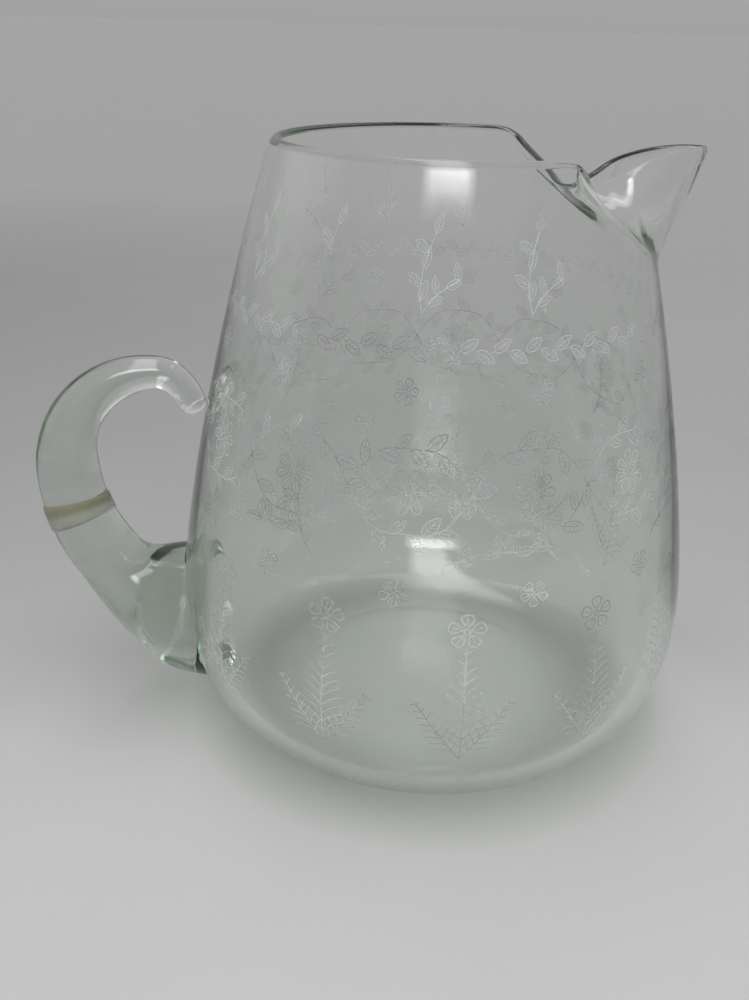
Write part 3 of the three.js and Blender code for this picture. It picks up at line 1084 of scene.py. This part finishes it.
for vertex in drawing.verts:
    across, height, _ = vertex.co
    angle = across / ROUND - math.pi / 2
    radius = outside.radius(height) + PROUD
    vertex.co = (radius * math.cos(angle), radius * math.sin(angle), height)
bmesh.ops.recalc_face_normals(drawing, faces=drawing.faces)
finished(drawing, "etched_ornament", etched_finish())
for mesh in (leaf_mesh, daisy_mesh, bloom_mesh, fern_mesh, sprig_mesh):
    bpy.data.meshes.remove(mesh)

# %% [markdown]
# ## The table and the camera
# The pitcher stands on a pale table that runs back into a grey sweep. The table is one flat
# sheet whose colour fades from pale near the pitcher to grey far away, a painted pool of light
# from the front. Painted shade makes it darker in three soft spots, far off on the left, under
# the handle and on the spout's side, and in a ring under the heel. Near the pitcher thick glass
# bends the light away, which shadow rays that go straight through can't show.

# %% Table
# Painted pool of light: the table is paler near a spot in front of the pitcher and greyer further
# off.
LIGHT_POOL_CENTRE = (0.0, -0.30, 0.0)
LIGHT_POOL_TONES = [(0.15, 0.48), (0.25, 0.46), (0.31, 0.43), (0.40, 0.345), (0.55, 0.305), (1.0, 0.279)]
# Painted shade: soft darker spots on the table and a darker ring under the heel.
FAR_SHADE = ((-0.38, 0.5, 0), 1.6, 0.26)
HANDLE_SHADE = ((-0.105, 0.025, 0), 17.0, 0.18)
SPOUT_SHADE = ((0.1, 0.03, 0), 17.0, 0.12)
HEEL_RING, HEEL_FALL, HEEL_SHADE = 0.058, 45.0, 0.30
TABLE_RADIUS, TABLE_GAP = 40.0, 0.0003


def table_finish():
    finish = new_finish("table")
    place = finish.node("ShaderNodeTexCoord", output="Object")

    def distance(spot):
        settings = {"operation": "DISTANCE"}
        return finish.node("ShaderNodeVectorMath", settings, {0: place, 1: spot}, 1)

    # The painted pool of light, paler near its centre and greyer with distance.
    stops = [(reach, grey(tone)) for reach, tone in LIGHT_POOL_TONES]
    colour = finish.node("ShaderNodeValToRGB", {"stops": stops}, {0: distance(LIGHT_POOL_CENTRE)})
    stain = finish.node("ShaderNodeTexNoise", {}, {"Vector": place, "Scale": 14.0, "Detail": 3.0})
    shade = 1.02 - stain * 0.05
    # Painted shade in three soft spots and, below, in a ring under the heel; the noise above is
    # random stains.
    for spot, fall, depth in (FAR_SHADE, HANDLE_SHADE, SPOUT_SHADE):
        shade = shade - (1 - distance(spot) * fall).clamped() * depth
    axis = finish.node("ShaderNodeVectorMath", {"operation": "LENGTH"}, {0: place}, 1)
    shade = shade - (1 - abs(axis - HEEL_RING) * HEEL_FALL).clamped() * HEEL_SHADE
    shaded = finish.node(
        "ShaderNodeVectorMath", {"operation": "SCALE"}, {0: colour, "Scale": shade}
    )
    sheet = finish.node("ShaderNodeBsdfPrincipled", {}, {"Base Color": shaded, "Roughness": 0.75})
    return finish.show(sheet)


table_shape = bmesh.new()
bmesh.ops.create_circle(table_shape, cap_ends=True, radius=TABLE_RADIUS, segments=96)
bmesh.ops.translate(table_shape, vec=(0, 0, -TABLE_GAP), verts=table_shape.verts)
table = placed(as_mesh(table_shape, "table"), "table")
table.data.materials.append(table_finish())
print("table radius %.0f m" % TABLE_RADIUS)

# %% [markdown]
# The camera looks down from a little above the rim, turned and rolled as the photograph was.
# Its place and lens were worked out from the outlines of the rim, the foot and the sides.

# %% Camera
YAW, PAN, TILT, ROLL = math.radians(-7.89), -0.06124, 0.42967, 0.03044
EYE_DISTANCE, EYE_HEIGHT = 0.3048, 0.2094
eye = Matrix.Rotation(YAW, 4, "Z") @ Vector((0, -EYE_DISTANCE, EYE_HEIGHT))
camera = placed(bpy.data.cameras.new("camera"), "camera")
camera.data.lens, camera.data.sensor_width = 37.8, 36.0
camera.data.clip_start = 0.01
camera.matrix_world = (
    Matrix.Translation(eye)
    @ Matrix.Rotation(YAW - PAN, 4, "Z")
    @ Matrix.Rotation(math.pi / 2 - TILT, 4, "X")
    @ Matrix.Rotation(ROLL, 4, "Z")
)
bpy.context.scene.camera = camera
print("camera at", tuple(round(x, 3) for x in eye))

# %% [markdown]
# ## Light
# The room is soft and grey. Its walls have the grey of the far table, so that the table has no
# visible end, and its ceiling is paler. A dim window on the left puts a soft sheen on that side
# of the neck. A long light panel runs along the ceiling from front to back. Its images are the
# bright patches on the neck and on the far side of the belly. The end near the camera is
# brighter. All of them have soft edges, so they are painted into the world as sums of the
# direction that a ray leaves in, and need no lamp.

# %% Room, window and ceiling panel
WALL, CEILING, WINDOW, PANEL, PANEL_END = 0.363, 0.60, 0.4, 3.8, 6.5
room = Finish(bpy.data.worlds.new("room"), "ShaderNodeOutputWorld")
direction = room.node("ShaderNodeTexCoord", output="Generated")
across, ahead, up = (
    room.node("ShaderNodeSeparateXYZ", {}, {0: direction}, axis) for axis in "XYZ"
)


def soft_edge(inside_by, sharpness):
    return (inside_by * sharpness).clamped()


ceiling = soft_edge(up, 2.2)
panel = soft_edge(0.19 - abs(across + 0.08), 12) * soft_edge(up - ahead * 0.3 - 0.68, 8)
window = soft_edge(ahead * 0.25 - across * 0.92 + up * 0.3 - 0.86, 8)
aside = across * 0.988 - ahead * 0.156
lifted = across * 0.083 + ahead * 0.523 + up * 0.848
panel_end = soft_edge(0.27 - abs(aside), 9) * soft_edge(0.15 - abs(lifted), 12)
level = WALL + ceiling * (CEILING - WALL) + window * WINDOW
level = level + panel * PANEL + panel_end * PANEL_END
bpy.context.scene.world = room.show(room.node("ShaderNodeBackground", {}, {"Color": level}))
bpy.context.scene.view_settings.view_transform = "Standard"
print("room level", WALL, "to", CEILING, "and panel", PANEL, "to", PANEL_END)

# %% [markdown]
# Light runs a long way inside a wall of glass before it leaves again. More bounces than usual
# let those paths end in the room, and without them the thick heel and the rim would be black.

# %% Long light paths
BOUNCES = 32
cycles = bpy.context.scene.cycles
cycles.max_bounces = BOUNCES
cycles.transmission_bounces = BOUNCES
cycles.glossy_bounces = BOUNCES
cycles.transparent_max_bounces = BOUNCES
print("light paths of up to", BOUNCES, "bounces")
